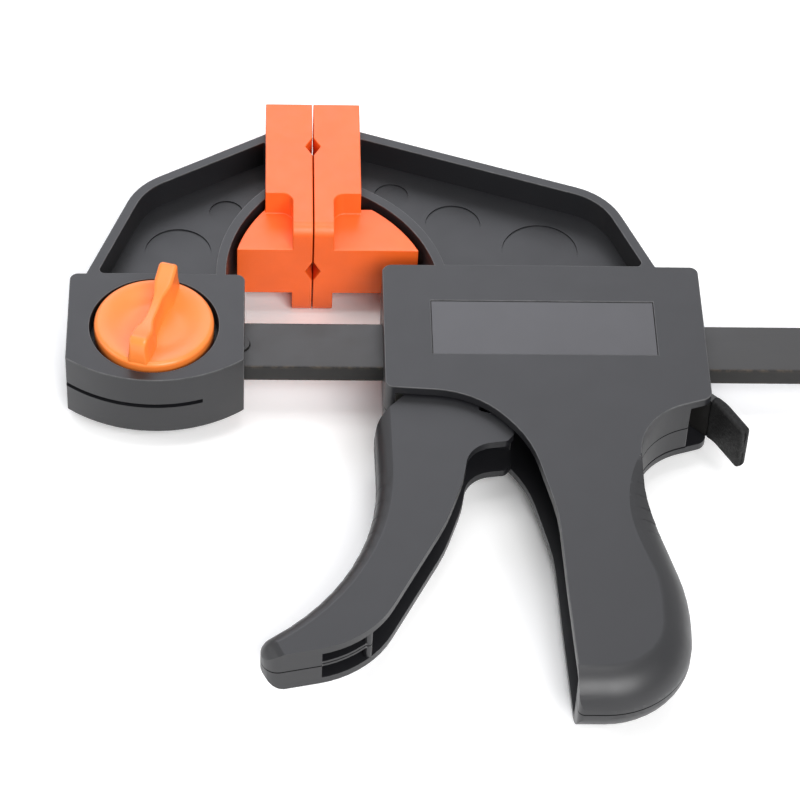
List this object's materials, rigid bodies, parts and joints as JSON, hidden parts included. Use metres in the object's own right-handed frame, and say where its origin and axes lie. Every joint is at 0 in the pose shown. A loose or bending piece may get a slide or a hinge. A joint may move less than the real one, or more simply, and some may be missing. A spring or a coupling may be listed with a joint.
{
  "type": "bar clamp",
  "caption": "Quick release ratcheting bar clamp: flat steel bar, fixed jaw with turning lock knob, sliding head with pistol grip, squeeze trigger, thumb release lever and soft grooved pads",
  "frame": {"origin": "on the bar's centre line, halfway between the faces of the closed pads", "axes": "X runs along the bar and the sliding head opens toward +X; Y runs up the jaws from the bar; Z is the thickness, with the knob on the +Z side and the pads' flat sides down at -Z"},
  "size_m": [0.4427, 0.2232, 0.0396],
  "materials": {
    "bar_steel": "satin blackened steel, lightly mottled and worn along its edges",
    "body_nylon": "fine grained dark grey glass filled nylon, satin",
    "pad_rubber": "soft orange red rubber, satin",
    "knob_plastic": "moulded orange plastic, softly glossy",
    "bright_steel": "plain zinc plated steel",
    "label_grey": "slightly glossy grey bare label plate",
    "guide_plastic": "natural bearing plastic",
    "lever_coat": "thin black dipped coat, fine grained"
  },
  "bodies": {
    "base": {"bar": "bar_steel", "bar_stop_pins": "bar_steel", "fixed_jaw": "body_nylon", "fixed_jaw_pad": "pad_rubber"},
    "lock_knob": {"knob": "knob_plastic", "knob_shaft": "bright_steel", "knob_washer": "bright_steel", "knob_screw": "bright_steel"},
    "sliding_head": {"housing_upper": "body_nylon", "housing_lower": "body_nylon", "housing_screws": "bright_steel", "sliding_jaw_pad": "pad_rubber", "label_plate": "label_grey", "bar_guide_front": "guide_plastic", "bar_guide_rear": "guide_plastic", "trigger_pin": "bright_steel", "drive_spring": "bright_steel", "brake_spring": "bright_steel"},
    "squeeze_trigger": {"trigger": "body_nylon"},
    "drive_plates": {"drive_plate_front": "bright_steel", "drive_plate_rear": "bright_steel"},
    "brake_lever": {"release_lever": "bar_steel", "release_lever_coat": "lever_coat"}
  },
  "joints": [
    {"name": "head_slide", "type": "slide", "parent": "base", "child": "sliding_head", "axis": [1, 0, 0], "range_m": [0, 0.2]},
    {"name": "trigger_squeeze", "type": "hinge", "parent": "sliding_head", "child": "squeeze_trigger", "pos_m": [0.0375, 0.016, 0], "axis": [0, 0, 1], "range_deg": [0, 17], "stiffness_Nm_per_rad": 2, "springref_deg": -11.46},
    {"name": "plates_push", "type": "slide", "parent": "sliding_head", "child": "drive_plates", "axis": [1, 0, 0], "range_m": [0, 0.0105], "deforming": ["drive_spring"]},
    {"name": "lever_release", "type": "hinge", "parent": "sliding_head", "child": "brake_lever", "pos_m": [0.1033, 0.021, 0], "axis": [0, 0, 1], "range_deg": [-6, 0], "stiffness_Nm_per_rad": 1.5, "springref_deg": 6.88, "deforming": ["brake_spring"]},
    {"name": "knob_turn", "type": "hinge", "parent": "base", "child": "lock_knob", "pos_m": [-0.047, 0, 0], "axis": [0, 0, 1], "range_deg": [0, 90]}
  ],
  "couplings": [
    {"joint": "plates_push", "follows": "trigger_squeeze", "m_per_rad": 0.035}
  ]
}
